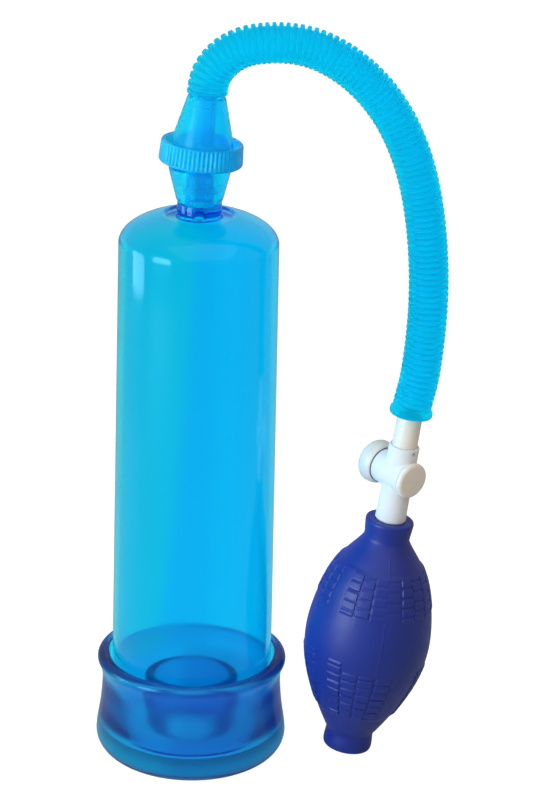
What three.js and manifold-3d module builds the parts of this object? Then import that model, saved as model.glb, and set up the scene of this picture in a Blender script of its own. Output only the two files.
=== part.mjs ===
// Hand bulb vacuum pump: a clear cylinder in a soft entry sleeve, joined by a union and a corrugated
// hose to a release valve and a rubber squeeze bulb. Millimetres and degrees, +Z up. The origin is on
// the floor, at the middle of the pump's footprint without its hose.
import * as THREE from 'three';
import { mergeVertices } from 'three/addons/utils/BufferGeometryUtils.js';
import Module from 'manifold-3d';

const wasm = await Module();
wasm.setup();

// ---- Driving dimensions ----
const cylinderX = -26.05; // the cylinder's axis, left of the origin
const fit = 0.35; // clearance that touching pieces keep

const footR = 35; // sleeve, widest at its foot
const footEdgeR = 7;
const waistR = 32.8;
const rimZ = 36;
const rimR = 2.2;
const seatZ = 9; // floor of the sleeve, under the cylinder
const tubeSeatR = 29.75;
const collarR = 16.5; // the sleeve's raised inner collar
const collarTopZ = 29.6;
const throatR = 9.8;

const tubeFootR = 29.35; // cylinder, tapered for moulding
const tubeTopR = 28;
const tubeWall = 2.6;
const shoulderZ = 194.6;
const domeHeight = 11.8;
const dishR = 12.5;
const dishZ = 204.4;
const spigotR = 7.75;
const spigotTopZ = 208.7;
const nippleR = 4.6;
const nippleTopZ = 220;
const oRingZ = 215;

const lowerConeZ = [spigotTopZ + fit, 222];
const lowerConeR = [8, 10.9];
const neckR = 8.2;
const neckTopZ = 226.3;

const unionZ = 222.5; // the union leans about this point
const unionLean = 4.5;
const ringR = [14.6, 14.2]; // knurled ring, bottom and top
const ringZ = [0.9, 8.6]; // along the leaning axis, from unionZ
const ringBoreR = 12.4;
const upperConeZ = [5.8, 8.2, 24.7];
const upperConeR = [10.9, 6.5];

const hoseR = 7;
const hoseSides = 10;
const hoseSteps = 40;

const bulbX = 58.3; // middle of the bulb's foot, right of the cylinder's axis
const bulbFootZ = 1.25;
const bulbLean = 7.77;
const bulbFootR = 9;
const bulbTopZ = 92.2; // along the bulb's own axis
const bulbBoreR = 5.25;
const wallWindow = { halfWidth: 14, low: 24, high: 67, corner: 10 };

const stemR = 4.55;
const stemZ = [115, 132.7];
const valveZ = 110; // the valve's barrel crosses the bulb's axis here
const barrelTurn = -50.7; // the barrel's end cap faces right and forward
const barrelR = 6.3;
const barrelEnds = [-8.7, 5.55];
const boreR = 4.3;
const capR = 6.9;
const buttonR = 8.2;

// ---- Helpers ----
function material(color, roughness, opacity = 1) {
  return new THREE.MeshStandardMaterial({
    color, roughness, metalness: 0, opacity, transparent: opacity < 1,
  });
}

// Points on an arc in the (radius, height) plane; angles run from the radius axis.
function arc(r, z, radius, fromDeg, toDeg, steps, heightScale = 1) {
  const points = [];
  for (let i = 0; i <= steps; i += 1) {
    const angle = THREE.MathUtils.degToRad(fromDeg + ((toDeg - fromDeg) * i) / steps);
    points.push([r + radius * Math.cos(angle), z + radius * heightScale * Math.sin(angle)]);
  }
  return points;
}

// A smooth curve through [radius, height] points.
function smooth(points, steps) {
  const curve = new THREE.SplineCurve(points.map(([r, z]) => new THREE.Vector2(r, z)));
  return curve.getPoints(steps).map((p) => [p.x, p.y]);
}

// Turns an outline of [radius, height] points, listed from the bottom up its outer side, about Z.
// An outline that starts off the axis closes on itself.
function revolve(outline, sides = 28) {
  const points = outline.map(([r, z]) => new THREE.Vector2(r, z));
  if (outline[0][0] > 0) points.push(points[0].clone());
  return new THREE.LatheGeometry(points, sides).rotateX(Math.PI / 2);
}

function rod(radius, low, high, sides = 24) {
  return revolve([[0, low], [radius, low], [radius, high], [0, high]], sides);
}

function toSolid(geometry) {
  const bare = geometry.clone();
  bare.deleteAttribute('normal');
  bare.deleteAttribute('uv');
  const merged = mergeVertices(bare, 1e-4);
  const vertProperties = new Float32Array(merged.attributes.position.array);
  const corners = merged.index.array;
  const triVerts = [];
  for (let i = 0; i < corners.length; i += 3) {
    const [a, b, c] = corners.slice(i, i + 3);
    if (a !== b && b !== c && c !== a) triVerts.push(a, b, c);
  }
  const mesh = new wasm.Mesh({ numProp: 3, vertProperties, triVerts: new Uint32Array(triVerts) });
  return new wasm.Manifold(mesh);
}

function toGeometry(solid) {
  const mesh = solid.getMesh();
  const geometry = new THREE.BufferGeometry();
  geometry.setAttribute('position', new THREE.BufferAttribute(mesh.vertProperties, 3));
  geometry.setIndex(new THREE.BufferAttribute(mesh.triVerts, 1));
  geometry.computeVertexNormals();
  return geometry;
}

function addMesh(parent, name, geometry, look) {
  const mesh = new THREE.Mesh(geometry, look);
  mesh.name = name;
  parent.add(mesh);
  return mesh;
}

function addGroup(parent, x, z, leanDeg) {
  const group = new THREE.Group();
  group.position.set(x, 0, z);
  group.rotation.y = THREE.MathUtils.degToRad(leanDeg);
  parent.add(group);
  return group;
}

// ---- Materials ----
const clearBlue = () => material(0x16b4ec, 0.12, 0.55);
const softBlue = () => material(0x1f5fb8, 0.4, 0.85);
const hoseBlue = () => material(0x12a8e6, 0.3, 0.8);
const white = () => material(0xeef0ee, 0.35);
const bulbBlue = () => material(0x2a3b9c, 0.6);
const blackSeal = () => material(0x1b1b1d, 0.7);
const steel = () => new THREE.MeshStandardMaterial({ color: 0xb9bcc0, roughness: 0.3, metalness: 1 });

const pump = new THREE.Group();
pump.position.x = cylinderX;

// ---- Entry sleeve: stretchy cup that the cylinder stands in ----
function entrySleeve() {
  const outline = [
    [throatR, 0],
    ...arc(footR - footEdgeR, footEdgeR, footEdgeR, -90, 0, 4),
    ...smooth([[footR - 0.5, 10], [33.5, 17.5], [waistR, 27], [waistR + 0.4, rimZ - rimR - 1]], 4),
    ...arc(waistR - 0.6, rimZ, rimR, -40, 100, 4),
    [tubeSeatR, rimZ + 0.8],
    [tubeSeatR, seatZ],
    [collarR + 1, seatZ],
    [collarR, seatZ + 1.5],
    ...arc(collarR - 1.6, collarTopZ, 1.6, 0, 180, 4),
    [throatR + 2.4, 16],
    [throatR + 0.6, 4],
  ];
  return revolve(outline);
}
addMesh(pump, 'entry_sleeve', entrySleeve(), softBlue());

// ---- Cylinder: clear vacuum chamber, with a domed top and a spigot for the hose ----
function cylinder() {
  const innerScale = (domeHeight - tubeWall) / (tubeTopR - tubeWall);
  const outline = [
    [tubeFootR - tubeWall, seatZ + fit],
    [tubeFootR, seatZ + fit],
    ...arc(0, shoulderZ, tubeTopR, 0, 63, 6, domeHeight / tubeTopR),
    [dishR - 0.8, dishZ],
    [spigotR, dishZ],
    [spigotR, spigotTopZ],
    [nippleR, spigotTopZ],
    [nippleR, oRingZ - 1],
    [nippleR - 0.8, oRingZ - 1],
    [nippleR - 0.8, oRingZ + 1],
    [nippleR, oRingZ + 1],
    [nippleR - 0.3, nippleTopZ],
    [1.8, nippleTopZ],
    ...arc(0, shoulderZ, tubeTopR - tubeWall, 86, 0, 6, innerScale),
  ];
  return revolve(outline);
}
addMesh(pump, 'cylinder', cylinder(), clearBlue());

// ---- Lower coupling: turns on the spigot, sealed by an O-ring ----
const spigotRingR = nippleR + 0.25;
addMesh(pump, 'spigot_o_ring', new THREE.TorusGeometry(spigotRingR, 0.7, 6, 20).translate(0, 0, oRingZ),
  blackSeal());

function lowerCone() {
  const boreOfNipple = nippleR + fit;
  const pocketR = spigotRingR + 0.7 + fit;
  return revolve([
    [boreOfNipple, lowerConeZ[0]],
    [lowerConeR[0] - 0.4, lowerConeZ[0]],
    [lowerConeR[0], lowerConeZ[0] + 0.6],
    [lowerConeR[1], lowerConeZ[1] - 0.6],
    [lowerConeR[1] - 0.4, lowerConeZ[1]],
    [neckR, lowerConeZ[1]],
    [neckR, neckTopZ],
    [2.6, neckTopZ],
    [2.6, nippleTopZ + fit],
    [boreOfNipple, nippleTopZ + fit],
    [boreOfNipple, oRingZ + 1.2],
    [pocketR, oRingZ + 1.2],
    [pocketR, oRingZ - 1.2],
    [boreOfNipple, oRingZ - 1.2],
  ], 24);
}
addMesh(pump, 'lower_cone', lowerCone(), clearBlue());

// ---- Union: knurled ring and the hose's cone, leaning a little to the right ----
const union = addGroup(pump, 0, unionZ, unionLean);

addMesh(union, 'union_seal', revolve([[3, 4.5], [5.4, 4.5], [5.4, 5.5], [3, 5.5]], 20), blackSeal());

function couplingRing() {
  return revolve([
    [neckR + 1.1, ringZ[0]],
    [ringR[0] - 0.6, ringZ[0]],
    [ringR[0], ringZ[0] + 0.6],
    [ringR[1], ringZ[1] - 0.6],
    [ringR[1] - 0.5, ringZ[1]],
    [ringBoreR + 0.3, ringZ[1]],
    [ringBoreR, ringZ[1] - 0.5],
    [ringBoreR, ringZ[0] + 2],
    [neckR + 1.1, ringZ[0] + 2],
  ], 36);
}
addMesh(union, 'coupling_ring', couplingRing(), clearBlue());

function upperCone() {
  const [low, cone, top] = upperConeZ;
  const wall = 1.3;
  return revolve([
    [upperConeR[0] - wall, low],
    [upperConeR[0], low],
    [upperConeR[0], cone - 0.6],
    [upperConeR[0] - 0.15, cone],
    [upperConeR[1] + 0.1, top - 0.5],
    [upperConeR[1] - 0.4, top],
    [4, top],
    [4, top - wall],
    [upperConeR[1] - wall + 0.2, top - wall],
    [upperConeR[0] - wall - 0.15, cone],
  ], 28);
}
addMesh(union, 'upper_cone', upperCone(), clearBlue());

function hoseInsert() {
  return revolve([
    [2.2, 5.9],
    [9.2, 5.9],
    [9.2, 7.1],
    [3.6, 7.3],
    [3.6, upperConeZ[2] - 0.1],
    [2.2, upperConeZ[2] - 0.1],
  ], 20);
}
addMesh(union, 'hose_insert', hoseInsert(), white());

// ---- Bulb and valve axis ----
const bulb = addGroup(pump, bulbX, bulbFootZ, bulbLean);

// ---- Hose: one smooth arch from the upper cone down to the valve's stem ----
const hoseRoute = [
  [1.97, 247.52], [2.18, 250.1], [3.1, 253.9], [5.4, 257.9], [9, 261.4], [14.2, 264.2], [21.2, 265.7],
  [29, 265.9], [37, 264.6], [45.6, 261], [53.2, 255.8], [60, 249.2], [65.9, 241.2], [70.6, 232.2],
  [74.2, 222.6], [77, 211.6], [79, 199.5], [80.2, 187], [80.6, 175], [80.3, 164], [79.6, 154],
  [78.4, 144.5], [77.05, 138], [76.31, 133.2],
];

function hose() {
  const route = new THREE.CatmullRomCurve3(hoseRoute.map(([x, z]) => new THREE.Vector3(x, 0, z)));
  const section = new THREE.Shape();
  for (let i = 0; i < hoseSides; i += 1) {
    const angle = (i * 2 * Math.PI) / hoseSides;
    const x = hoseR * Math.cos(angle);
    const y = hoseR * Math.sin(angle);
    if (i === 0) section.moveTo(x, y);
    else section.lineTo(x, y);
  }
  return new THREE.ExtrudeGeometry(section, { steps: hoseSteps, extrudePath: route, bevelEnabled: false });
}
addMesh(pump, 'hose', hose(), hoseBlue());

// ---- Squeeze bulb: its two side walls press in, its necks and front and back strips stay ----
function bulbShell() {
  const outer = [
    [9.6, 8], [13.1, 14.2], [18.5, 25], [22.6, 39], [22.2, 54], [18.8, 68.5], [13.4, 78], [9.2, 83.6],
  ];
  const inner = [
    [5.25, 83], [12, 75.5], [16.1, 68], [19.5, 54], [20, 40], [15.9, 26], [10.6, 16.5], [5.25, 12],
  ];
  return toSolid(revolve([
    [bulbBoreR, 0],
    [bulbFootR - 0.6, 0],
    [bulbFootR, 0.6],
    [bulbFootR, 2.6],
    [bulbFootR - 0.3, 6.6],
    ...smooth(outer, 12),
    [8.3, 85.6],
    [8.8, 90.6],
    [8.4, bulbTopZ],
    [bulbBoreR, bulbTopZ],
    ...smooth(inner, 8),
  ], 32));
}

// A prism along X whose section is the wall's rounded outline, grown by a margin.
function wallPrism(side, margin) {
  const { halfWidth, low, high, corner } = wallWindow;
  const w = halfWidth + margin;
  const outline = new THREE.Shape();
  outline.absarc(w - corner, high + margin - corner, corner, 0, Math.PI / 2);
  outline.absarc(corner - w, high + margin - corner, corner, Math.PI / 2, Math.PI);
  outline.absarc(corner - w, low - margin + corner, corner, Math.PI, 1.5 * Math.PI);
  outline.absarc(w - corner, low - margin + corner, corner, 1.5 * Math.PI, 2 * Math.PI);
  const prism = new THREE.ExtrudeGeometry(outline, { depth: 30, bevelEnabled: false, curveSegments: 5 });
  prism.rotateX(Math.PI / 2).rotateZ(side * Math.PI / 2);
  return toSolid(prism);
}

const shell = bulbShell();
const leftWall = shell.intersect(wallPrism(-1, 0));
const rightWall = shell.intersect(wallPrism(1, 0));
const frame = shell.subtract(wallPrism(-1, fit)).subtract(wallPrism(1, fit));
addMesh(bulb, 'bulb_frame', toGeometry(frame), bulbBlue());
addMesh(bulb, 'bulb_left_wall', toGeometry(leftWall), bulbBlue());
addMesh(bulb, 'bulb_right_wall', toGeometry(rightWall), bulbBlue());

// ---- Exhaust valve in the bulb's foot: opens outward when the bulb is squeezed ----
addMesh(bulb, 'exhaust_valve_body', revolve([
  [3.4, 0.6], [4.9, 0.6], [4.9, 12], [1.5, 12], [1.5, 10.6], [3.4, 10.6],
], 20), white());
addMesh(bulb, 'exhaust_valve_disc', rod(2.8, 9.5, 10.25, 18), blackSeal());
addMesh(bulb, 'exhaust_valve_retainer', revolve([[1.8, 6], [3.05, 6], [3.05, 7.4], [1.8, 7.4]], 18),
  white());

// ---- Suction valve in the neck: opens into the bulb when the bulb springs back ----
addMesh(bulb, 'suction_valve_seat', revolve([[1.4, 82], [3.25, 82], [3.25, 83.6], [1.4, 83.6]], 18),
  white());
addMesh(bulb, 'suction_valve_disc', rod(2.7, 80.9, 81.65, 18), blackSeal());
addMesh(bulb, 'suction_valve_retainer', revolve([[1.9, 77.6], [3.25, 77.6], [3.25, 79], [1.9, 79]], 18),
  white());

// ---- Release valve: a vertical passage crossed by the barrel of the release button ----
addMesh(bulb, 'hose_stem', revolve([
  [1.9, stemZ[0]], [stemR, stemZ[0]], [stemR, stemZ[1]], [1.9, stemZ[1]],
], 24), white());

const valve = addGroup(bulb, 0, valveZ, 0);
valve.rotation.z = THREE.MathUtils.degToRad(barrelTurn);

function alongX(geometry) {
  return geometry.rotateY(Math.PI / 2);
}

// Heights here are from the barrel's axis.
function valveBody() {
  const socketTop = 11.2;
  const neckTop = bulbTopZ + 0.4 - valveZ;
  const plugLow = 77 - valveZ;
  const outside = toSolid(rod(5.5, neckTop, 4))
    .add(toSolid(rod(4.9, plugLow, neckTop + 1)))
    .add(toSolid(rod(5.55, 3, socketTop)))
    .add(toSolid(alongX(rod(barrelR, barrelEnds[0], barrelEnds[1]))));
  const bleedHole = rod(0.8, 0, 12, 8).rotateX(Math.PI / 2).translate(2.6, 0, 0);
  return outside
    .subtract(toSolid(rod(stemR + fit, stemZ[0] - valveZ - fit, socketTop + 1)))
    .subtract(toSolid(rod(1.9, plugLow - 1, 6, 12)))
    .subtract(toSolid(rod(3.6, plugLow - 1, 84 - valveZ, 18)))
    .subtract(toSolid(alongX(rod(boreR, barrelEnds[0] - 1, barrelEnds[1] + 1, 20))))
    .subtract(toSolid(bleedHole));
}
addMesh(valve, 'valve_body', toGeometry(valveBody()), white());

addMesh(valve, 'valve_end_cap', alongX(revolve([
  [0, 4.5], [boreR - fit, 4.5], [boreR - fit, 5.9], [capR, 5.9], [capR, 7.3], [capR - 0.5, 7.8], [0, 7.8],
], 28)), white());

function releaseButton() {
  const skirtEnd = -9.4;
  const face = -12;
  const inside = [[barrelR + 0.6, skirtEnd], [barrelR + 0.6, face], [0, face]];
  const dome = arc(0, -12.8, buttonR, -90, 0, 5, 3.4 / buttonR);
  return alongX(revolve([...dome, [buttonR, skirtEnd], ...inside], 28));
}
addMesh(valve, 'release_button', releaseButton(), white());

addMesh(valve, 'valve_plunger', alongX(revolve([
  [0, -11.65], [2.6, -11.65], [2.6, -5.8], [3.9, -5.6], [3.9, -4.8], [2.7, -4.8], [2.7, -3.2],
  [3.9, -3.2], [3.9, -1.2], [1.5, -1], [1.5, -0.2], [0, -0.2],
], 20)), white());

addMesh(valve, 'plunger_o_ring', alongX(new THREE.TorusGeometry(3.5, 0.5, 6, 18).translate(0, 0, -4)),
  blackSeal());

function valveSpring() {
  const turns = 2.5;
  const wireR = 0.3;
  const coilR = 2.9;
  const [low, high] = [-0.45, 3.8];
  const points = [];
  for (let i = 0; i <= turns * 12; i += 1) {
    const angle = (i / 12) * 2 * Math.PI;
    const height = low + ((high - low) * i) / (turns * 12);
    points.push(new THREE.Vector3(coilR * Math.cos(angle), coilR * Math.sin(angle), height));
  }
  const section = new THREE.Shape();
  section.absarc(0, 0, wireR, 0, 2 * Math.PI);
  const extrudePath = new THREE.CatmullRomCurve3(points);
  const coil = { steps: turns * 12, extrudePath, curveSegments: 3, bevelEnabled: false };
  return alongX(new THREE.ExtrudeGeometry(section, coil));
}
addMesh(valve, 'valve_spring', valveSpring(), steel());

const model = new THREE.Group();
model.add(pump);
export default model;
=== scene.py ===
"""Hand bulb vacuum pump: the fine surfaces, materials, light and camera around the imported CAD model.

Everything is in metres in the row frame. Outlines are (radius, height) pairs in millimetres on a
part's own axis, which a place matrix puts where the CAD model has it."""
import math

import bmesh
import bpy
import numpy as np
from mathutils import Matrix, Vector


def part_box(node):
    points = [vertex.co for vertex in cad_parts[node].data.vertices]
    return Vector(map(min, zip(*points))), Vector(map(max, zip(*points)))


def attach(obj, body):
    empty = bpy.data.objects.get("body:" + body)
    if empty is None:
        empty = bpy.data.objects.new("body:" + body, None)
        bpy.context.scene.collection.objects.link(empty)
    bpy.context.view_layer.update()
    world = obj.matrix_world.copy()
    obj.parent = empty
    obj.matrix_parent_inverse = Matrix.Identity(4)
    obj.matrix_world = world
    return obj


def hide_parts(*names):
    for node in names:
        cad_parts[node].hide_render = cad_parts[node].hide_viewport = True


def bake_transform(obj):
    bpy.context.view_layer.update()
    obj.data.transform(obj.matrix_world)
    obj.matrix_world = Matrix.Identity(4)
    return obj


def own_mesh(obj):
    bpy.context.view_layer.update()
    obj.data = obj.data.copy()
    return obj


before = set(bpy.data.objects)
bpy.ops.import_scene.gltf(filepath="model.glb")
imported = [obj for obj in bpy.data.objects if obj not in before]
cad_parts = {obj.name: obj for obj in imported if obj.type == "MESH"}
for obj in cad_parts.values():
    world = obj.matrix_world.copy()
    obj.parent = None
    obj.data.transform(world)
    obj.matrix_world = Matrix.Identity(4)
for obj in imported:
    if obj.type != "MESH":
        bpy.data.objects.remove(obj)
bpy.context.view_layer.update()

MM = 0.001
ON_AXIS = 1e-6  # a radius below this is a point on the axis
scene = bpy.context.scene


# ---- Places: each assembly's own axis, as in the CAD model ----
def turned(x, z, lean):
    """The place of an axis through (x, z) that leans to the right by an angle in degrees."""
    return Matrix.Translation((x * MM, 0, z * MM)) @ Matrix.Rotation(math.radians(lean), 4, "Y")


sleeve_low, sleeve_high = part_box("entry_sleeve")
PUMP = Matrix.Translation(((sleeve_low.x + sleeve_high.x) / 2, 0, 0))
UNION = PUMP @ turned(0, 222.5, 4.5)
BULB = PUMP @ turned(58.3, 1.25, 7.77)
VALVE = BULB @ turned(0, 110, 0) @ Matrix.Rotation(math.radians(-50.7), 4, "Z")
BARREL = VALVE @ Matrix.Rotation(math.radians(90), 4, "Y")


# ---- Camera, at the photograph's viewing angle ----
def make_camera():
    elevation = math.radians(20.5)
    roll = math.radians(1.57)
    distance = 0.941
    focal_length = 119.25
    target = PUMP @ Vector((0.0255, 0, 0.137))
    data = bpy.data.cameras.new("camera")
    data.lens = focal_length
    data.sensor_width = 36
    camera = bpy.data.objects.new("camera", data)
    back = Vector((0, -math.cos(elevation), math.sin(elevation)))
    turn = Matrix.Rotation(math.pi / 2 - elevation, 4, "X") @ Matrix.Rotation(roll, 4, "Z")
    camera.matrix_world = Matrix.Translation(target + back * distance) @ turn
    scene.collection.objects.link(camera)
    scene.camera = camera


make_camera()


# ---- Mesh helpers ----
def add_object(name, mesh, sharp=40):
    """Links a mesh as an object, smooth but for edges sharper than an angle in degrees."""
    mesh.shade_smooth()
    mesh.set_sharp_from_angle(angle=math.radians(sharp))
    made = bpy.data.objects.new(name, mesh)
    scene.collection.objects.link(made)
    return made


def mesh_from(name, points, faces, place=Matrix.Identity(4), scale=MM, sharp=40):
    """An object from points in millimetres and faces, with its normals made to face out."""
    mesh = bpy.data.meshes.new(name)
    mesh.from_pydata([place @ (Vector(p) * scale) for p in points], [], faces)
    work = bmesh.new()
    work.from_mesh(mesh)
    bmesh.ops.recalc_face_normals(work, faces=work.faces)
    work.to_mesh(mesh)
    work.free()
    return add_object(name, mesh, sharp)


def rounded(corners, steps=4):
    """Rounds a closed outline's corners: each is (radius, height) or (radius, height, fillet)."""
    made = []
    count = len(corners)
    for i, corner in enumerate(corners):
        here = np.array(corner[:2], float)
        size = corner[2] if len(corner) > 2 else 0
        if not size:
            made.append(tuple(here))
            continue
        before = np.array(corners[i - 1][:2], float) - here
        after = np.array(corners[(i + 1) % count][:2], float) - here
        reach = min(size, 0.45 * np.linalg.norm(before), 0.45 * np.linalg.norm(after))
        first = here + before / np.linalg.norm(before) * reach
        last = here + after / np.linalg.norm(after) * reach
        for k in range(steps + 1):
            t = k / steps
            point = first * (1 - t) ** 2 + here * 2 * t * (1 - t) + last * t * t
            made.append(tuple(point))
    return made


def arc(r, z, radius, start, end, steps, squeeze=1):
    """Points on an arc, with its angles in degrees from the radius axis."""
    angles = [math.radians(start + (end - start) * i / steps) for i in range(steps + 1)]
    return [(r + radius * math.cos(a), z + radius * squeeze * math.sin(a)) for a in angles]


def spline(points, count):
    """Evenly spaced points on a natural cubic spline through points of any dimension."""
    p = np.array([tuple(q) for q in points], float)
    gaps = np.linalg.norm(np.diff(p, axis=0), axis=1)
    t = np.concatenate([[0], np.cumsum(gaps)])
    n = len(p)
    system = np.zeros((n, n))
    right = np.zeros_like(p)
    system[0, 0] = system[-1, -1] = 1
    for i in range(1, n - 1):
        system[i, i - 1 : i + 2] = gaps[i - 1], 2 * (gaps[i - 1] + gaps[i]), gaps[i]
        right[i] = 6 * ((p[i + 1] - p[i]) / gaps[i] - (p[i] - p[i - 1]) / gaps[i - 1])
    bend = np.linalg.solve(system, right)

    def at(values):
        k = np.clip(np.searchsorted(t, values, side="right") - 1, 0, n - 2)
        h, a = gaps[k][:, None], (values - t[k])[:, None]
        b = h - a
        return (
            (bend[k] * b**3 + bend[k + 1] * a**3) / (6 * h)
            + (p[k] / h - bend[k] * h / 6) * b
            + (p[k + 1] / h - bend[k + 1] * h / 6) * a
        )

    fine = np.linspace(0, t[-1], 4000)
    along = np.concatenate([[0], np.cumsum(np.linalg.norm(np.diff(at(fine), axis=0), axis=1))])
    return at(np.interp(np.linspace(0, along[-1], count), along, fine)), along[-1]


def lathe(name, outline, place, segments=128, sharp=40, shape=None):
    """Turns a closed outline about the place's Z axis. shape(angle, index) may grow its radius."""
    points, faces, rows = [], [], []
    for index, (r, z) in enumerate(outline):
        if r < ON_AXIS:
            rows.append([len(points)] * segments)
            points.append((0, 0, z))
            continue
        row = []
        for k in range(segments):
            angle = 2 * math.pi * k / segments
            grown = r + (shape(angle, index) if shape else 0)
            row.append(len(points))
            points.append((grown * math.cos(angle), grown * math.sin(angle), z))
        rows.append(row)
    starts_on_axis = outline[0][0] < ON_AXIS  # then it ends there too, and closes on itself
    for i in range(len(rows) - 1 if starts_on_axis else len(rows)):
        a, b = rows[i], rows[(i + 1) % len(rows)]
        for k in range(segments):
            m = (k + 1) % segments
            faces.append(list(dict.fromkeys((a[k], a[m], b[m], b[k]))))
    return mesh_from(name, points, faces, place, sharp=sharp)


def ring_skin(name, rings, sharp=40):
    """A closed skin over rings of points in metres, the last ring joined to the first."""
    count, sides = len(rings), len(rings[0])
    faces = []
    for i in range(count):
        a, b = i * sides, (i + 1) % count * sides
        for k in range(sides):
            m = (k + 1) % sides
            faces.append((a + k, a + m, b + m, b + k))
    points = [p for ring in rings for p in ring]
    return mesh_from(name, points, faces, scale=1, sharp=sharp)


def smooth_step(low, high, x):
    """0 below low, 1 above high, and smooth between."""
    t = np.clip((x - low) / (high - low), 0, 1)
    return t * t * (3 - 2 * t)


def finish_piece(piece, body, material, slot, *nodes):
    """Gives a piece its material, hides the CAD nodes it replaces, and attaches it to a body if one is
    given. slot is not used.
    """
    piece.data.materials.append(material)
    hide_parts(*nodes)
    if body:
        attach(piece, body)


# ---- Materials ----
class Nodes:
    """A short way to write a node tree. A value is a number, a colour or another node's output."""

    def __init__(self, tree):
        self.tree = tree

    def add(self, kind, **values):
        node = self.tree.nodes.new(kind)
        for key, value in values.items():
            if hasattr(node, key):
                setattr(node, key, value)
            else:
                node.inputs[key.replace("_", " ")].default_value = value
        return node

    def link(self, out, socket):
        self.tree.links.new(out, socket)

    def fill(self, socket, value):
        if isinstance(value, tuple):
            socket.default_value = (*value, 1)
        elif isinstance(value, (int, float)):
            socket.default_value = value
        else:
            self.link(value, socket)

    def map_range(self, value, from_low, from_high, to_low=0, to_high=1):
        """Maps from_low to from_high on to to_low to to_high, and holds the ends."""
        node = self.add("ShaderNodeMapRange")
        for socket, number in zip(node.inputs[1:5], (from_low, from_high, to_low, to_high)):
            socket.default_value = number
        self.link(value, node.inputs["Value"])
        return node.outputs["Result"]

    def mix_numbers(self, share, first, second):
        node = self.add("ShaderNodeMix")
        for socket, value in zip((node.inputs[0], node.inputs[2], node.inputs[3]), (share, first, second)):
            self.fill(socket, value)
        return node.outputs[0]

    def mix_colours(self, share, first, second):
        node = self.add("ShaderNodeMix", data_type="RGBA")
        for socket, value in zip((node.inputs[0], node.inputs[6], node.inputs[7]), (share, first, second)):
            self.fill(socket, value)
        return node.outputs[2]

    def seen_directly(self):
        """1 for camera rays and for light that comes through clear plastic, else 0."""
        path = self.add("ShaderNodeLightPath")
        seen = self.add("ShaderNodeMath", operation="MAXIMUM")
        self.link(path.outputs["Is Camera Ray"], seen.inputs[0])
        self.link(path.outputs["Is Transmission Ray"], seen.inputs[1])
        return seen.outputs[0]


class Shader(Nodes):
    """A material around one Principled shader."""

    def __init__(self, name):
        self.material = bpy.data.materials.new(name)
        self.material.use_nodes = True
        super().__init__(self.material.node_tree)
        self.main = self.tree.nodes["Principled BSDF"]
        self.output = self.tree.nodes["Material Output"]
        self.place = self.add("ShaderNodeTexCoord").outputs["Object"]

    def set(self, **values):
        for key, value in values.items():
            self.main.inputs[key.replace("_", " ")].default_value = value

    def noise(self, scale, detail=3, rough=0.5, stretch=None):
        """A noise pattern of the given number of features in a metre."""
        node = self.add("ShaderNodeTexNoise", Scale=scale, Detail=detail, Roughness=rough)
        place = self.place
        if stretch:
            mapping = self.add("ShaderNodeMapping", Scale=stretch)
            self.link(place, mapping.inputs["Vector"])
            place = mapping.outputs["Vector"]
        self.link(place, node.inputs["Vector"])
        return node.outputs["Fac"]

    def spread(self, noise, low, high):
        """Most noise values are from 0.3 to 0.7: maps those on to low to high."""
        return self.map_range(noise, 0.3, 0.7, low, high)

    def colours(self, value, first, second):
        self.link(self.mix_colours(value, first, second), self.main.inputs["Base Color"])

    def roughness(self, noise, low, high):
        self.link(self.spread(noise, low, high), self.main.inputs["Roughness"])

    def bump(self, value, depth, before=None):
        """Relief of a depth in metres. Returns the normal, so that reliefs can be chained."""
        node = self.add("ShaderNodeBump", Strength=1.0, Distance=depth)
        self.link(value, node.inputs["Height"])
        if before:
            self.link(before, node.inputs["Normal"])
        self.link(node.outputs["Normal"], self.main.inputs["Normal"])
        return node.outputs["Normal"]


SHEEN = (0.3, 0.65, 0.9, 1)  # the dyed plastic's reflections are a little blue
SHADE = 0.96  # the darkest patches' share of a plastic's colour


def clear_plastic(name, skin, absorbed, roughness, ripple, ior, clear=1.0):
    """Dyed clear plastic. skin is its surface tint and absorbed its loss of each colour in a metre."""
    s = Shader(name)
    s.set(Transmission_Weight=clear, IOR=ior, Specular_Tint=SHEEN)
    s.colours(s.noise(30, 2), skin, tuple(SHADE * c for c in skin))
    s.roughness(s.noise(60, 4), roughness * 0.7, roughness * 1.5)
    flow = s.bump(s.noise(35, 1.5, stretch=(1, 1, 0.35)), ripple)
    s.bump(s.noise(900, 2), ripple * 0.02, flow)
    density = max(absorbed)
    kept = tuple(1 - a / density for a in absorbed)
    volume = s.add("ShaderNodeVolumeAbsorption", Density=density, Color=(*kept, 1))
    s.link(volume.outputs["Volume"], s.output.inputs["Volume"])
    tint = tuple(math.sqrt(c) for c in skin)
    see_through = s.add("ShaderNodeBsdfTransparent", Color=(*tint, 1))
    mix = s.add("ShaderNodeMixShader")
    s.link(s.add("ShaderNodeLightPath").outputs["Is Shadow Ray"], mix.inputs["Fac"])
    s.link(s.main.outputs["BSDF"], mix.inputs[1])
    s.link(see_through.outputs["BSDF"], mix.inputs[2])
    s.link(mix.outputs["Shader"], s.output.inputs["Surface"])
    return s.material


def add_painted_glow(material, colour, strength):
    """Painted glow: an even emission over the whole part, which stands in for light the dye scatters back
    out of the thick parts.
    """
    main = material.node_tree.nodes["Principled BSDF"]
    main.inputs["Emission Color"].default_value = (*colour, 1)
    main.inputs["Emission Strength"].default_value = strength


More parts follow.
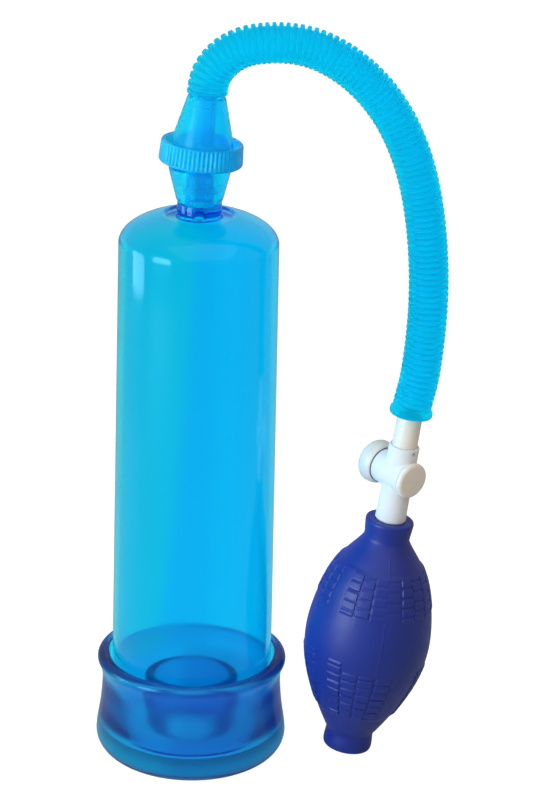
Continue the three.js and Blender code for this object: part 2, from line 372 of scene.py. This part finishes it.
def white_plastic():
    """Milky white moulded plastic: light goes a little way in, and the skin is faintly uneven."""
    s = Shader("white_plastic")
    s.set(Subsurface_Weight=0.35, Subsurface_Scale=0.003, Subsurface_Radius=(1, 0.85, 0.7))
    s.set(IOR=1.5, Coat_Weight=0.15)
    s.colours(s.noise(45, 3), (0.9, 0.81, 0.7), (0.86, 0.77, 0.66))
    s.roughness(s.noise(220, 3), 0.24, 0.4)
    flow = s.bump(s.noise(120, 2), 0.00006)
    s.bump(s.noise(2500, 2), 0.000008, flow)
    return s.material


def bulb_rubber():
    """Matte moulded rubber: fine grain, a little bloom, and colour that varies slowly."""
    s = Shader("bulb_rubber")
    s.set(IOR=1.5, Specular_IOR_Level=0.45)
    s.set(Sheen_Weight=0.06, Sheen_Roughness=0.5, Sheen_Tint=(0.45, 0.6, 1, 1))
    s.colours(s.noise(55, 5, 0.6), (0.005, 0.02, 0.22), (0.008, 0.028, 0.27))
    s.roughness(s.noise(260, 4, 0.6), 0.36, 0.5)
    grain = s.bump(s.noise(4200, 3, 0.6), 0.00003)
    s.bump(s.noise(500, 2), 0.00004, grain)
    return s.material


def seal_rubber():
    """Black rubber of the O-ring and the valve discs."""
    s = Shader("seal_rubber")
    s.colours(s.noise(300, 3), (0.02, 0.02, 0.022), (0.016, 0.016, 0.0176))
    s.roughness(s.noise(900, 3), 0.4, 0.6)
    s.bump(s.noise(3500, 3), 0.00001)
    return s.material


def spring_steel():
    """Drawn steel wire."""
    s = Shader("spring_steel")
    s.set(Metallic=1.0)
    s.colours(s.noise(800, 3), (0.6, 0.61, 0.63), (0.5, 0.5, 0.51))
    s.roughness(s.noise(1500, 3), 0.22, 0.38)
    s.bump(s.noise(6000, 2), 0.000004)
    return s.material


CYLINDER_LOOK = clear_plastic("clear_cylinder", (0.01, 0.7, 0.92), (160, 30, 3), 0.09, 0.0001, 1.45)
COUPLING_LOOK = clear_plastic("coupling_plastic", (0.02, 0.74, 0.92), (200, 18, 4), 0.2, 0.00005, 1.33, 0.88)
RING_LOOK = clear_plastic("knurled_plastic", (0.02, 0.62, 0.85), (200, 14, 3), 0.22, 0.00003, 1.4, 0.6)
HOSE_LOOK = clear_plastic("hose_plastic", (0.01, 0.7, 0.88), (600, 10, 3), 0.4, 0.00002, 1.18, 0.92)
SLEEVE_LOOK = clear_plastic("sleeve_rubber", (0.25, 0.9, 0.93), (500, 68, 44), 0.17, 0.00012, 1.4)
# Painted glow: the sleeve emits a faint blue light all over.
add_painted_glow(SLEEVE_LOOK, (0.08, 0.08, 0.8), 0.07)
WHITE_LOOK = white_plastic()
BULB_LOOK = bulb_rubber()
BLACK_LOOK = seal_rubber()
SILICONE_LOOK = clear_plastic("clear_silicone", (0.3, 0.9, 0.97), (300, 20, 5), 0.25, 0.00001, 1.33)
STEEL_LOOK = spring_steel()


# ---- Hose: a corrugated tube along its route ----
HOSE_ROUTE = [  # in millimetres, right of and up from the cylinder's foot
    (1.97, 247.52), (2.18, 250.1), (3.1, 253.9), (5.4, 257.9), (9, 261.4), (14.2, 264.2), (21.2, 265.7),
    (29, 265.9), (37, 264.6), (45.6, 261), (53.2, 255.8), (60, 249.2), (65.9, 241.2), (70.6, 232.2),
    (74.2, 222.6), (77, 211.6), (79, 199.5), (80.2, 187), (80.6, 175), (80.3, 164), (79.6, 154),
    (78.4, 144.5), (77.05, 138), (76.31, 133.2),
]
HOSE_CREST = 7.0
RIB_DEPTH = 1.3  # on the outside of the bend
CLOSED_RIB_DEPTH = 0.3  # on the inside of the bend, where the ribs close up
STRAIGHT_BEND = 0.006  # below this bend, in radians for each millimetre, no rib closes
TIGHT_BEND = 0.018  # and above this one they all do
HOSE_BORE = 5.1
HOSE_PITCH = 2.1
RIB = (  # one rib of the outside: share of the pitch, and share of the way from valley to crest
    (0, 0), (0.09, 0.05), (0.13, 0.3), (0.16, 0.7), (0.2, 0.94), (0.27, 1), (0.62, 1), (0.69, 0.94),
    (0.73, 0.7), (0.76, 0.3), (0.8, 0.05),
)
INNER_RIB = ((0.04, 0), (0.24, 0.4), (0.37, 0.6), (0.5, 0.4), (0.7, 0))  # share, height over the bore
CUFF_LENGTH = 2.2
CUFF = ((0, 6.9), (0.15, 7.35), (0.4, 7.7), (1.8, 7.7), (2.1, 7.5), (2.2, 7.2))  # distance, radius
HOSE_SAMPLES = 1600  # points along its middle


def in_front_plane(x, z):
    """A point in the upright plane through the cylinder's axis and the bulb's, from millimetres."""
    return PUMP @ Vector((x * MM, 0, z * MM))


def hose():
    sides = 64
    route = [in_front_plane(x, z) for x, z in HOSE_ROUTE]
    centres, length = spline(route, HOSE_SAMPLES)
    tangents = np.gradient(centres, axis=0)
    tangents /= np.linalg.norm(tangents, axis=1)[:, None]
    across = np.array((0.0, 1.0, 0.0))
    total = length / MM
    ribbed = total - CUFF_LENGTH
    ribs = round(ribbed / HOSE_PITCH)
    pitch = ribbed / ribs
    outer = [((i + share) * pitch, HOSE_CREST, 1 - height) for i in range(ribs) for share, height in RIB]
    outer += [(ribbed + at, radius, 0) for at, radius in CUFF]
    inner = [(0, HOSE_BORE, 0)]
    inner += [((i + share) * pitch, HOSE_BORE + rise, 0) for i in range(ribs) for share, rise in INNER_RIB]
    inner.append((total, HOSE_BORE, 0))

    bends = np.linalg.norm(np.gradient(tangents, axis=0), axis=1) * len(centres) / total

    def depth(angle, bend):
        """How deep a valley is at an angle from the inside of the bend."""
        inside = smooth_step(-0.1, 0.9, math.cos(angle))
        closed = float(inside * smooth_step(STRAIGHT_BEND, TIGHT_BEND, bend))
        return RIB_DEPTH + (CLOSED_RIB_DEPTH - RIB_DEPTH) * closed

    def ring(at, radius, cut):
        """The ring of points at a distance along the hose. cut is the share of a valley's depth."""
        where = np.interp(at * MM, np.linspace(0, length, len(centres)), np.arange(len(centres)))
        k = min(int(where), len(centres) - 2)
        f = where - k
        centre = centres[k] * (1 - f) + centres[k + 1] * f
        tangent = tangents[k] * (1 - f) + tangents[k + 1] * f
        side = np.cross(across, tangent)
        side /= np.linalg.norm(side)
        points = []
        for i in range(sides):
            angle = 2 * math.pi * i / sides
            outward = math.cos(angle) * side + math.sin(angle) * across
            points.append(tuple(centre + (radius - cut * depth(angle, bends[k])) * MM * outward))
        return points

    piece = ring_skin("corrugated_hose", [ring(*place) for place in outer + inner[::-1]], sharp=50)
    finish_piece(piece, None, HOSE_LOOK, "hose_plastic", "hose")
    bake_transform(piece)


hose()


# ---- Entry sleeve: rolled rim, waist, flared foot and raised inner collar ----
def entry_sleeve():
    foot = arc(28, 7, 7, -90, 8, 16)
    waist, _ = spline([(34.95, 8.5), (34.5, 11.5), (33.5, 18), (32.9, 25), (32.8, 29.5), (33.3, 32.6)], 22)
    rim = arc(32.3, 36, 2.25, -38, 118, 16) + [(30.4, 38.1), (29.95, 37.5), (29.75, 36.4)]
    socket = [(29.75, 10), (29.4, 9.2), (28.6, 9), (18.4, 9), (17.3, 9.3), (16.7, 10.2), (16.5, 11.6)]
    collar_top = arc(14.9, 30.2, 1.6, 0, 180, 12)
    throat, _ = spline([(13.25, 27.5), (12.6, 18), (11.4, 9), (10.2, 2.5), (9.9, 0.8)], 12)
    outline = [(10.4, 0), (12, 0)] + foot + [tuple(p) for p in waist[1:]] + rim + socket + collar_top
    outline += [tuple(p) for p in throat]
    piece = lathe("entry_sleeve_shell", outline, PUMP, segments=160)
    finish_piece(piece, "sleeve", SLEEVE_LOOK, "sleeve_rubber", "entry_sleeve")


entry_sleeve()


# ---- Cylinder: clear tube with a domed top and the hose's spigot ----
def cylinder():
    wall = 2.6
    top = 28.0
    shoulder = 194.6
    dome = 11.8
    outer_dome = arc(0, shoulder, top, 0, 63.5, 26, dome / top)
    inner_dome = arc(0, shoulder, top - wall, 84, 0, 24, (dome - wall) / (top - wall))
    spigot = rounded([
        (11.9, 204.5, 0.5), (8.3, 204.3, 0.4), (7.75, 204.9, 0.5), (7.75, 209.6, 0.5), (4.6, 209.6, 0.2),
        (4.6, 214), (3.8, 214), (3.8, 216), (4.6, 216), (4.4, 220, 0.4), (1.8, 220, 0.3), (1.8, 203.9),
    ])
    foot = rounded([(29.36, 12), (29.35, 9.4, 0.9), (26.75, 9.4, 0.9), (26.75, 12)])[1:-1]
    outline = foot[::-1] + outer_dome + spigot + inner_dome
    piece = lathe("cylinder_shell", outline, PUMP, segments=192, sharp=45)
    finish_piece(piece, "cylinder", CYLINDER_LOOK, "clear_cylinder", "cylinder")


cylinder()


# ---- Lower coupling ----
def lower_coupling():
    cone = rounded([
        (4.95, 209.9, 0.2), (7.7, 209.9, 0.5), (8.2, 210.7, 0.6), (10.9, 221.5, 0.4), (10.6, 222.1, 0.3),
        (8.2, 222.2, 0.3), (8.2, 226.3, 0.4), (2.6, 226.3, 0.3), (2.6, 220.4), (4.95, 220.4), (4.95, 216.2),
        (5.9, 216.2), (5.9, 213.8), (4.95, 213.8),
    ])
    piece = lathe("lower_cone_shell", cone, PUMP, segments=112)
    finish_piece(piece, "lower_coupling", COUPLING_LOOK, "coupling_plastic", "lower_cone")
    ring = lathe("spigot_seal", arc(4.85, 215, 0.7, 0, 345, 23), PUMP, segments=64)
    finish_piece(ring, "lower_coupling", SILICONE_LOOK, "seal_rubber", "spigot_o_ring")


lower_coupling()


# ---- Union: knurled ring, cone and hose insert ----
KNURL_COUNT = 56
KNURL_DEPTH = 0.6
KNURL_ROOT = 13.6  # the ring's outline is knurled outside this radius
KNURL_HALF_ANGLE = 54  # of the knurled grips at front and back, in degrees


def coupling_ring():
    outline = rounded([
        (9.3, 0.9, 0.3), (14.0, 0.9, 0.8), (14.6, 1.7, 0.6), (14.55, 2.6), (14.5, 3.6), (14.4, 5.2),
        (14.3, 6.6), (14.25, 7.6), (14.2, 8.2, 0.4), (13.8, 8.6, 0.4), (12.8, 8.6, 0.4), (12.4, 8.1, 0.4),
        (12.4, 2.9, 0.5), (9.3, 2.9, 0.3),
    ])

    def knurl(angle, index):
        """The cut of the grooves between the teeth, on the ring's outer wall at front and back."""
        r, z = outline[index]
        if r < KNURL_ROOT:
            return 0
        off = abs((math.degrees(angle) + 360) % 180 - 90)
        grip = float(1 - smooth_step(KNURL_HALF_ANGLE - 4, KNURL_HALF_ANGLE + 1, off))
        edge = float(smooth_step(1.3, 2.2, z) * (1 - smooth_step(8.15, 8.5, z)))
        wave = 0.5 - 0.5 * math.cos(KNURL_COUNT * angle)
        return -KNURL_DEPTH * grip * edge * (1 - wave**0.6)

    piece = lathe("knurled_ring", outline, UNION, segments=KNURL_COUNT * 12, sharp=60, shape=knurl)
    finish_piece(piece, "union_ring", RING_LOOK, "coupling_plastic", "coupling_ring")


def upper_cone():
    outline = rounded([
        (9.6, 5.8, 0.2), (10.9, 5.8, 0.3), (10.9, 7.6), (10.75, 8.2), (6.7, 24, 0.6), (6.2, 24.7, 0.5),
        (5.35, 24.7, 0.2), (5.3, 23.3, 0.2), (9.45, 8.4, 0.5),
    ])
    piece = lathe("upper_cone_shell", outline, UNION, segments=112)
    finish_piece(piece, "hose_end", COUPLING_LOOK, "coupling_plastic", "upper_cone")


def hose_insert():
    outline = rounded([
        (2.2, 5.9), (9.2, 5.9, 0.3), (9.2, 7.1, 0.3), (3.8, 7.3, 0.8), (3.6, 24.4, 0.3), (2.2, 24.4, 0.3),
    ])
    piece = lathe("hose_insert_tube", outline, UNION, segments=72)
    finish_piece(piece, "hose_end", COUPLING_LOOK, "coupling_plastic", "hose_insert")
    gasket = rounded([(3, 4.5, 0.2), (5.4, 4.5, 0.2), (5.4, 5.5, 0.2), (3, 5.5, 0.2)])
    seal = lathe("union_gasket", gasket, UNION, segments=64)
    finish_piece(seal, "hose_end", SILICONE_LOOK, "seal_rubber", "union_seal")


coupling_ring()
upper_cone()
hose_insert()


# ---- Squeeze bulb: two half skins that meet at the mould line ----
MOULD_LINE = 9  # degrees to the right of the bulb's front
COLUMNS = 22  # of bricks round the bulb
BRICK_ANGLE = 360 / COLUMNS
BRICK_HEIGHT = 3.4
BRICK_RAISE = 0.5
BRICK_SINK = 0.16  # of the joints between the bricks, below the band
BRICK_GAP = 0.2
BRICK_BEVEL = 0.3
BAND_RAISE = 0.35
UPPER_ROWS = (60.4, 75)  # heights of the rows' foot and top
LOWER_ROWS = (18.5, 38.7)
LONG_COLUMN_TOP = 42.1
FADED = 0.35  # share of the height of the upper bricks beside the mould line
LINE_RAISE = 0.13  # of the mould line
LINE_WIDTH = 0.28
GRIP_RADIUS = 20.5  # where the bricks' widths are measured


def brick_relief(angle, s):
    """Height of the moulded relief, in millimetres. angle is in degrees right of the bulb's front.

    Columns of bricks stand in upper and lower rows on a slightly raised band. The mould line is a thin
    raised line, and the columns are counted from it, 0 to 10 round each half."""
    blur = 0.1
    band = BAND_RAISE * smooth_step(16.9, 17.9, s) * (1 - smooth_step(75.2, 76.0, s))
    place = (angle - MOULD_LINE) / BRICK_ANGLE
    column = np.floor(place)
    u = place - column
    face = column % (COLUMNS // 2)
    beside_line = (face == 10) | (face == 0)
    long_column = (face == 8) | (face == 6)
    in_lower = (face > 2) | (face == 0)

    def rows(low, high):
        return smooth_step(low - blur, low + blur, s) * (1 - smooth_step(high - blur, high + blur, s))

    upper = rows(*UPPER_ROWS) * np.where(beside_line, FADED, 1.0)
    lower = rows(LOWER_ROWS[0], np.where(long_column, LONG_COLUMN_TOP, LOWER_ROWS[1])) * in_lower
    smooth_strip = face == 7
    grip = np.maximum(upper, lower) * ~smooth_strip
    first_row = np.where(s > 50, UPPER_ROWS[0], LOWER_ROWS[0])
    row = (s - first_row) / BRICK_HEIGHT + 0.5 * (column % 2)
    v = row - np.floor(row)
    to_side = np.minimum(u, 1 - u) * math.radians(BRICK_ANGLE) * GRIP_RADIUS
    to_end = np.minimum(v, 1 - v) * BRICK_HEIGHT
    brick = smooth_step(BRICK_GAP, BRICK_GAP + BRICK_BEVEL, np.minimum(to_side, to_end))
    off_line = ((angle - MOULD_LINE + 90) % 180 - 90) * math.radians(1) * GRIP_RADIUS
    line = LINE_RAISE * np.exp(-(off_line / LINE_WIDTH) ** 2) * (1 - smooth_step(0, 1, grip))
    return band + grip * (BRICK_RAISE * brick - BRICK_SINK) + line


def bulb_section():
    """The bulb wall's closed outline: the outside from foot to neck, then the inside back down."""
    belly, _ = spline([
        (8.75, 6.9), (9.8, 8.6), (13.0, 14.2), (18.1, 25), (21.6, 36), (22.6, 44.5), (21.9, 54), (20.0, 63),
        (17.0, 71.5), (12.9, 78.3), (9.6, 82.8), (8.4, 84.8),
    ], 245)
    foot = rounded([(5.25, 0.3), (8.7, 0, 0.9), (9.05, 1.2, 0.7), (9.0, 3), (8.8, 5.4)])
    neck = rounded([(8.3, 86), (8.6, 88.6), (8.85, 91.3, 0.5), (8.6, 92.2, 0.5), (5.25, 92.2, 0.3)])[:-1]
    inside, _ = spline([(5.25, 83), (12, 75.5), (16.1, 68), (19.5, 54), (20, 40), (15.9, 26), (10.6, 16.5),
                        (5.25, 12)], 30)
    outside = foot + [tuple(p) for p in belly] + neck
    return outside, [(5.25, 92)] + [tuple(p) for p in inside]


def bulb_half(side):
    """Half of the bulb's skin: side is -1 for the left half and 1 for the right half."""
    name = "right" if side > 0 else "left"
    columns = 200
    outside, inside = bulb_section()
    section = np.array(outside + inside)
    heights = section[:, 1][:, None]
    first_angle = MOULD_LINE if side > 0 else MOULD_LINE - 180
    angles = (first_angle + 180 * np.arange(columns + 1) / columns)[None, :]
    grown = section[:, 0][:, None] * np.ones_like(angles)
    s = heights[: len(outside)]
    fade = smooth_step(8.5, 12, s) * (1 - smooth_step(80, 83, s))
    grown[: len(outside)] += brick_relief(angles, s) * fade
    turn = np.radians(angles)
    points = np.stack([grown * np.sin(turn), -grown * np.cos(turn), heights + 0 * grown], axis=2)
    count, width = len(section), columns + 1
    faces = []
    for i in range(count):
        a, b = i * width, (i + 1) % count * width
        faces += [(a + k, a + k + 1, b + k + 1, b + k) for k in range(columns)]
    faces.append([i * width for i in range(count)])
    faces.append([i * width + columns for i in reversed(range(count))])
    points = [tuple(p) for p in points.reshape(-1, 3)]
    piece = mesh_from(f"bulb_{name}_half", points, faces, BULB, sharp=55)
    work = bmesh.new()
    work.from_mesh(piece.data)
    bmesh.ops.triangulate(work, faces=[f for f in work.faces if len(f.verts) > 4])
    work.to_mesh(piece.data)
    work.free()
    finish_piece(piece, None, BULB_LOOK, "bulb_rubber", f"bulb_{name}_wall", "bulb_frame")
    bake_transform(piece)


bulb_half(-1)
bulb_half(1)


# ---- Release valve ----
def joined_solid(name, parts, cuts, sharp=35):
    """One object: lathed parts joined, less the lathed cuts. It uses up the parts and the cuts."""
    base = parts[0]
    for other, operation in [(p, "UNION") for p in parts[1:]] + [(c, "DIFFERENCE") for c in cuts]:
        modifier = base.modifiers.new("boolean", "BOOLEAN")
        modifier.operation = operation
        modifier.solver = "MANIFOLD"
        modifier.object = other
    bpy.context.view_layer.update()
    graph = bpy.context.evaluated_depsgraph_get()
    mesh = bpy.data.meshes.new_from_object(base.evaluated_get(graph))
    for used in parts + cuts:
        bpy.data.objects.remove(used)
    return add_object(name, mesh, sharp)


def valve_body():
    stem = lathe("part_stem", rounded([
        (0, -33), (4.9, -33, 0.4), (4.9, -17.6), (5.6, -17.4, 0.2), (5.45, -8), (5.4, 3), (0, 3),
    ]), VALVE, segments=96)
    socket = lathe("part_socket", rounded([
        (0, 1), (5.55, 1), (5.55, 10.9, 0.5), (5.2, 11.2, 0.2), (0, 11.2),
    ]), VALVE, segments=96)
    barrel = lathe("part_barrel", rounded([
        (0, -8.7), (6.0, -8.7, 0.4), (6.3, -8.2, 0.3), (6.35, 5.1, 0.3), (6.1, 5.55, 0.3), (0, 5.55),
    ]), BARREL, segments=112)
    stem_hole = lathe("cut_stem", [(0, 4.65), (4.75, 4.65), (4.75, 12), (0, 12)], VALVE, segments=80)
    bore = lathe("cut_bore", [(0, -10), (4.3, -10), (4.3, 7), (0, 7)], BARREL, segments=80)
    airway = [(0, -34), (3.6, -34), (3.6, -26), (1.9, -25), (1.9, 6), (0, 6)]
    way = lathe("cut_way", airway, VALVE, segments=48)
    side = VALVE @ Matrix.Translation((5.4 * MM, 0, 9.6 * MM)) @ Matrix.Rotation(math.pi / 2, 4, "Y")
    bleed = lathe("cut_bleed", [(0, -1.2), (0.6, -1.2), (0.7, 1.2), (0, 1.2)], side, segments=32)
    piece = joined_solid("valve_housing", [stem, socket, barrel], [stem_hole, bore, way, bleed])
    finish_piece(piece, "bulb", WHITE_LOOK, "white_plastic", "valve_body")


def valve_pieces():
    stem = lathe("hose_stem_tube", rounded([
        (1.9, 5.1), (4.5, 5.1, 0.3), (4.62, 11), (4.5, 22.8, 0.2), (1.9, 22.8, 0.2),
    ]), VALVE, segments=96)
    finish_piece(stem, "bulb", WHITE_LOOK, "white_plastic", "hose_stem")
    cap = lathe("end_cap", rounded([
        (0, 4.5), (3.95, 4.5, 0.2), (3.95, 5.85), (6.3, 5.8, 0.15), (6.6, 6.1, 0.3), (6.6, 7.2, 0.7),
        (5.8, 7.85, 0.6), (0, 7.9),
    ]), BARREL, segments=112)
    finish_piece(cap, "bulb", WHITE_LOOK, "white_plastic", "valve_end_cap")
    dome = arc(0, -12.2, 8.0, -90, 0, 22, 4.5 / 8)
    skirt, _ = spline([(8.0, -11.8), (7.9, -10.6), (7.5, -9.3), (7.15, -8.6)], 10)
    recess = [(6.85, -8.4), (6.55, -8.5), (6.48, -8.8), (6.48, -11.8), (6.3, -12), (0, -12)]
    button = lathe("button_dome", dome + [tuple(p) for p in skirt] + recess, BARREL, segments=112)
    finish_piece(button, "button", WHITE_LOOK, "white_plastic", "release_button")
    plunger = lathe("plunger_rod", [
        (0, -11.65), (2.6, -11.65), (2.6, -5.8), (3.9, -5.6), (3.9, -4.8), (2.7, -4.8), (2.7, -3.2),
        (3.9, -3.2), (3.9, -1.2), (1.5, -1), (1.5, -0.2), (0, -0.2),
    ], BARREL, segments=56)
    finish_piece(plunger, "button", WHITE_LOOK, "white_plastic", "valve_plunger")
    seal = lathe("plunger_seal", arc(3.5, -4, 0.5, 0, 345, 15), BARREL, segments=48)
    finish_piece(seal, "button", BLACK_LOOK, "seal_rubber", "plunger_o_ring")


def valve_spring():
    """An open coil of wire along the barrel's axis."""
    low, high = -0.45, 3.8
    turns = 2.5
    coil, wire = 2.9, 0.3
    sides, count = 12, 120
    points, faces = [], []
    for i in range(count + 1):
        angle = 2 * math.pi * turns * i / count
        outward = Vector((math.cos(angle), math.sin(angle), 0))
        centre = outward * coil + Vector((0, 0, low + (high - low) * i / count))
        for k in range(sides):
            a = 2 * math.pi * k / sides
            points.append(centre + wire * (math.cos(a) * outward + Vector((0, 0, math.sin(a)))))
    for i in range(count):
        for k in range(sides):
            m = (k + 1) % sides
            faces.append((i * sides + k, i * sides + m, (i + 1) * sides + m, (i + 1) * sides + k))
    faces.append(list(range(sides))[::-1])
    faces.append([count * sides + k for k in range(sides)])
    piece = mesh_from("return_spring", points, faces, BARREL)
    finish_piece(piece, "bulb", STEEL_LOOK, "spring_steel", "valve_spring")
    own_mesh(piece)


def check_valves():
    rings = (
        ("exhaust_housing", (3.4, 0.6), (4.9, 0.6), (4.9, 12), (1.5, 12), (1.5, 10.6), (3.4, 10.6)),
        ("exhaust_keeper", (1.8, 6), (3.05, 6), (3.05, 7.4), (1.8, 7.4)),
        ("suction_seat", (1.4, 82), (3.25, 82), (3.25, 83.6), (1.4, 83.6)),
        ("suction_keeper", (1.9, 77.6), (3.25, 77.6), (3.25, 79), (1.9, 79)),
    )
    nodes = ("exhaust_valve_body", "exhaust_valve_retainer", "suction_valve_seat", "suction_valve_retainer")
    for (name, *corners), node in zip(rings, nodes):
        piece = lathe(name, rounded([(r, z, 0.25) for r, z in corners]), BULB, segments=64)
        finish_piece(piece, "bulb", WHITE_LOOK, "white_plastic", node)
    for name, low, body, node in (
        ("exhaust_disc", 9.5, "exhaust_flap", "exhaust_valve_disc"),
        ("suction_disc", 80.9, "suction_flap", "suction_valve_disc"),
    ):
        outline = rounded([(0, low), (2.75, low, 0.2), (2.75, low + 0.75, 0.2), (0, low + 0.75)])
        piece = lathe(name, outline, BULB, segments=48)
        finish_piece(piece, body, BLACK_LOOK, "seal_rubber", node)


valve_body()
valve_pieces()
valve_spring()
check_valves()


# ---- Studio: white floor with painted light and shade that only clear plastic shows, bright surroundings, and soft lights on the left and above ----
BACK_PAINTED_BANDS = (  # painted light bands, which clear plastic shows of the floor well behind the part, from left to right
    (0.24, (0.8, 1.15, 0.8)), (0.27, (1, 0.95, 0.95)), (0.37, (1, 0.96, 0.97)), (0.42, (1, 1.08, 0.97)),
    (0.6, (1, 1.04, 0.98)),
)
NEAR_PAINTED_SHADE = (  # and painted shade, which clear plastic shows of the floor close behind the sleeve: a bright strip, then darker to the right
    (0.24, (1, 1, 0.95)), (0.32, (1, 1.2, 1.05)), (0.35, (1, 0.72, 0.75)), (0.42, (1.2, 0.66, 0.7)),
    (0.55, (1.2, 0.7, 0.72)),
)
UNDER_PAINTED_SHADOW = (1.6, 0.62, 1.0)  # and a painted shadow, a purple tint that clear plastic shows of the floor under the front of the sleeve
CARD_SIDES = (-0.1, 0.1)  # the cards' left and right ends
UNDER_TO_NEAR = (-0.025, 0)  # how far back one card fades into the next
NEAR_TO_BACK = (0.085, 0.13)
FLOOR_GLOW = 0.13
SEEN_FLOOR_GLOW = 0.93  # so that the background is white


def coloured_card(s, along, stops):
    """A card of colours along a 0 to 1 value."""
    card = s.add("ShaderNodeValToRGB")
    elements = card.color_ramp.elements
    for element, (position, colour) in zip(elements, (stops[0], stops[-1])):
        element.position = position
        element.color = (*colour, 1)
    for position, colour in stops[1:-1]:
        elements.new(position).color = (*colour, 1)
    s.link(along, card.inputs["Fac"])
    return card.outputs["Color"]


def make_floor():
    """A white floor, which clear plastic shows with the cards' colours: painted light bands and painted
    shade.
    """
    half = 3.0
    corners = [(-half, -half, 0), (half, -half, 0), (half, half, 0), (-half, half, 0)]
    mesh = bpy.data.meshes.new("floor")
    mesh.from_pydata(corners, [], [(0, 1, 2, 3)])
    floor = bpy.data.objects.new("floor", mesh)
    scene.collection.objects.link(floor)
    s = Shader("floor")
    s.set(Base_Color=(0.3, 0.3, 0.3, 1), Roughness=0.9, Specular_IOR_Level=0.0)
    place = s.add("ShaderNodeSeparateXYZ")
    s.link(s.place, place.inputs["Vector"])
    along = s.map_range(place.outputs["X"], *CARD_SIDES)
    far_behind = s.map_range(place.outputs["Y"], *NEAR_TO_BACK)
    not_under = s.map_range(place.outputs["Y"], *UNDER_TO_NEAR)
    near, back = coloured_card(s, along, NEAR_PAINTED_SHADE), coloured_card(s, along, BACK_PAINTED_BANDS)
    # The painted light and shade, which only transmission rays see.
    card = s.mix_colours(not_under, UNDER_PAINTED_SHADOW, s.mix_colours(far_behind, near, back))
    through_plastic = s.add("ShaderNodeLightPath").outputs["Is Transmission Ray"]
    s.link(s.mix_colours(through_plastic, (1, 1, 1), card), s.main.inputs["Emission Color"])
    glow = s.mix_numbers(s.seen_directly(), FLOOR_GLOW, SEEN_FLOOR_GLOW)
    s.link(glow, s.main.inputs["Emission Strength"])
    mesh.materials.append(s.material)


def make_world():
    """A white room to look at, which gives cool light from the left and warm light from the right."""
    world = bpy.data.worlds.new("studio")
    scene.world = world
    world.use_nodes = True
    room = Nodes(world.node_tree)
    split = room.add("ShaderNodeSeparateXYZ")
    room.link(room.add("ShaderNodeTexCoord").outputs["Generated"], split.inputs["Vector"])
    across = room.map_range(split.outputs["X"], -1, 1)
    sides = room.mix_colours(across, (0.32, 0.5, 0.62), (0.52, 0.37, 0.27))
    colour = room.mix_colours(room.seen_directly(), sides, (1, 1, 1))
    room.link(colour, room.tree.nodes["Background"].inputs["Color"])


def make_light(name, place, target, size, power, colour=(1, 1, 1)):
    data = bpy.data.lights.new(name, "AREA")
    data.shape = "RECTANGLE"
    data.size, data.size_y = size
    data.energy = power
    data.color = colour
    light = bpy.data.objects.new(name, data)
    light.location = place
    light.rotation_euler = (Vector(target) - Vector(place)).to_track_quat("-Z", "Y").to_euler()
    light.visible_camera = False
    light.visible_transmission = False  # not seen through clear plastic either
    scene.collection.objects.link(light)


make_floor()
make_world()
middle = (0, 0, 0.12)  # of the part
make_light("left_softbox", (-0.5, -0.4, 0.22), middle, (0.3, 0.36), 3.3, (0.86, 0.97, 1))
make_light("left_strip", (-0.42, 0.0, 0.17), (0, 0.0, 0.17), (0.16, 0.2), 0.6, (0.6, 0.92, 1))
make_light("top_softbox", (0.1, -0.4, 1.0), middle, (1.2, 1.2), 3.5)

BOUNCES = 96  # fewer leave the thick plastic black where light turns many corners
scene.view_settings.view_transform = "Standard"
scene.cycles.max_bounces = BOUNCES
scene.cycles.glossy_bounces = BOUNCES
scene.cycles.transmission_bounces = BOUNCES
scene.cycles.transparent_max_bounces = BOUNCES
